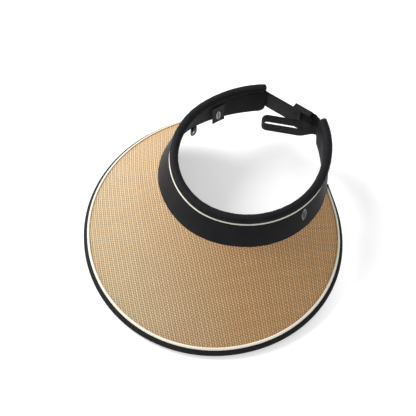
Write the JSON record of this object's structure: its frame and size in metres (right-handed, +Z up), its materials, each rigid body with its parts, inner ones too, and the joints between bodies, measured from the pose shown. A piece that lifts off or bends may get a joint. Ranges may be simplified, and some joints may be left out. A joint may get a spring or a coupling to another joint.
{
  "type": "sun visor",
  "caption": "Wide-brim woven sun visor with a padded black head ring, bound brim edge and adjustable strap closure at the back.",
  "frame": {"origin": "on the table under the middle of the visor's length and width, with the brim's edge resting on z = 0", "axes": "+Z up, -Y to the front of the brim, +Y to the back closure, +X to the wearer's left"},
  "size_m": [0.2806, 0.2884, 0.0855],
  "materials": {
    "straw_weave": "fine twill-woven paper straw, tan with small dark specks, dry matt",
    "interlining": "stiff white buckram",
    "under_cloth": "smooth black sun-blocking polyester",
    "spring_wire": "bright drawn spring wire",
    "binding_tape": "black grosgrain bias tape",
    "cream_piping": "cream cotton piping cord",
    "band_cloth": "smooth black swimwear-like knit, slight sheen",
    "rim_cloth": "soft black knit over padding",
    "stiffener_plastic": "thin translucent plastic strip",
    "foam": "soft open foam",
    "sweatband_cloth": "black brushed lining",
    "webbing": "black ribbed webbing",
    "loop_tape": "black narrow elastic tape",
    "slider_plastic": "satin black moulded plastic",
    "badge_metal": "satin dark nickel",
    "label_satin": "black satin with a plain grey leaf",
    "eye_ribbon": "black grosgrain ribbon",
    "eye_metal": "polished plated metal"
  },
  "bodies": {
    "root": {"brim_straw": "straw_weave", "brim_interlining": "interlining", "brim_underlining": "under_cloth", "brim_edge_wire": "spring_wire", "brim_binding": "binding_tape", "brim_piping": "cream_piping", "seam_tape": "binding_tape", "wall_front": "band_cloth", "stiffener_front": "stiffener_plastic", "foam_front": "foam", "sweatband_front": "sweatband_cloth", "rim_front": "rim_cloth", "hem_front": "binding_tape", "band_piping": "cream_piping", "leaf_badge": "badge_metal", "label_header": "label_satin", "eye_ribbon_left": "eye_ribbon", "eye_ribbon_right": "eye_ribbon"},
    "label": {"size_label": "label_satin"},
    "eye_right": {"cord_eye_right": "eye_metal"},
    "eye_left": {"cord_eye_left": "eye_metal"},
    "wing_right": {"wall_right": "band_cloth", "stiffener_right": "stiffener_plastic", "foam_right": "foam", "sweatband_right": "sweatband_cloth", "rim_right": "rim_cloth", "hem_right": "binding_tape", "strap_root_right": "webbing"},
    "wing_left": {"wall_left": "band_cloth", "stiffener_left": "stiffener_plastic", "foam_left": "foam", "sweatband_left": "sweatband_cloth", "rim_left": "rim_cloth", "hem_left": "binding_tape", "strap_root_left": "webbing", "loop_root": "loop_tape"},
    "strap": {"back_strap": "webbing", "strap_end_hem": "webbing"},
    "adjuster": {"anchor_strap": "webbing", "slider": "slider_plastic"},
    "loop": {"pull_loop": "loop_tape"}
  },
  "joints": [
    {"name": "wing_right_flex", "type": "hinge", "parent": "root", "child": "wing_right", "pos_m": [-0.06125, 0.11008, 0.0684], "axis": [0, 0.1045, 0.9945], "range_deg": [-7, 7], "stiffness_Nm_per_rad": 0.4},
    {"name": "wing_left_flex", "type": "hinge", "parent": "root", "child": "wing_left", "pos_m": [0.06125, 0.11008, 0.0684], "axis": [0, -0.1045, -0.9945], "range_deg": [-7, 7], "stiffness_Nm_per_rad": 0.4},
    {"name": "strap_turn", "type": "hinge", "parent": "wing_right", "child": "strap", "pos_m": [-0.0342, 0.1379, 0.04889], "axis": [0, -0.1045, -0.9945], "range_deg": [-7, 7]},
    {"name": "adjuster_turn", "type": "hinge", "parent": "wing_left", "child": "adjuster", "pos_m": [0.0342, 0.1379, 0.04889], "axis": [0, 0.1045, 0.9945], "range_deg": [-7, 7]},
    {"name": "loop_swing", "type": "hinge", "parent": "wing_left", "child": "loop", "pos_m": [0.03247, 0.13336, 0.04937], "axis": [0, 0.1045, 0.9945], "range_deg": [-4, 35]},
    {"name": "label_flip", "type": "hinge", "parent": "root", "child": "label", "pos_m": [-0.06434, 0.09258, 0.05989], "axis": [-0.3826, -0.9189, 0.0966], "range_deg": [0, 60]},
    {"name": "eye_right_swing", "type": "hinge", "parent": "root", "child": "eye_right", "pos_m": [-0.07916, 0.06657, 0.04038], "axis": [-0.1238, -0.9869, 0.1037], "range_deg": [-35, 35]},
    {"name": "eye_left_swing", "type": "hinge", "parent": "root", "child": "eye_left", "pos_m": [0.07916, 0.06657, 0.04038], "axis": [-0.1238, 0.9869, -0.1037], "range_deg": [-35, 35]}
  ],
  "couplings": [
    {"joint": "wing_left_flex", "follows": "wing_right_flex", "ratio": 1},
    {"joint": "strap_turn", "follows": "wing_right_flex", "ratio": 1},
    {"joint": "adjuster_turn", "follows": "wing_right_flex", "ratio": 1}
  ]
}
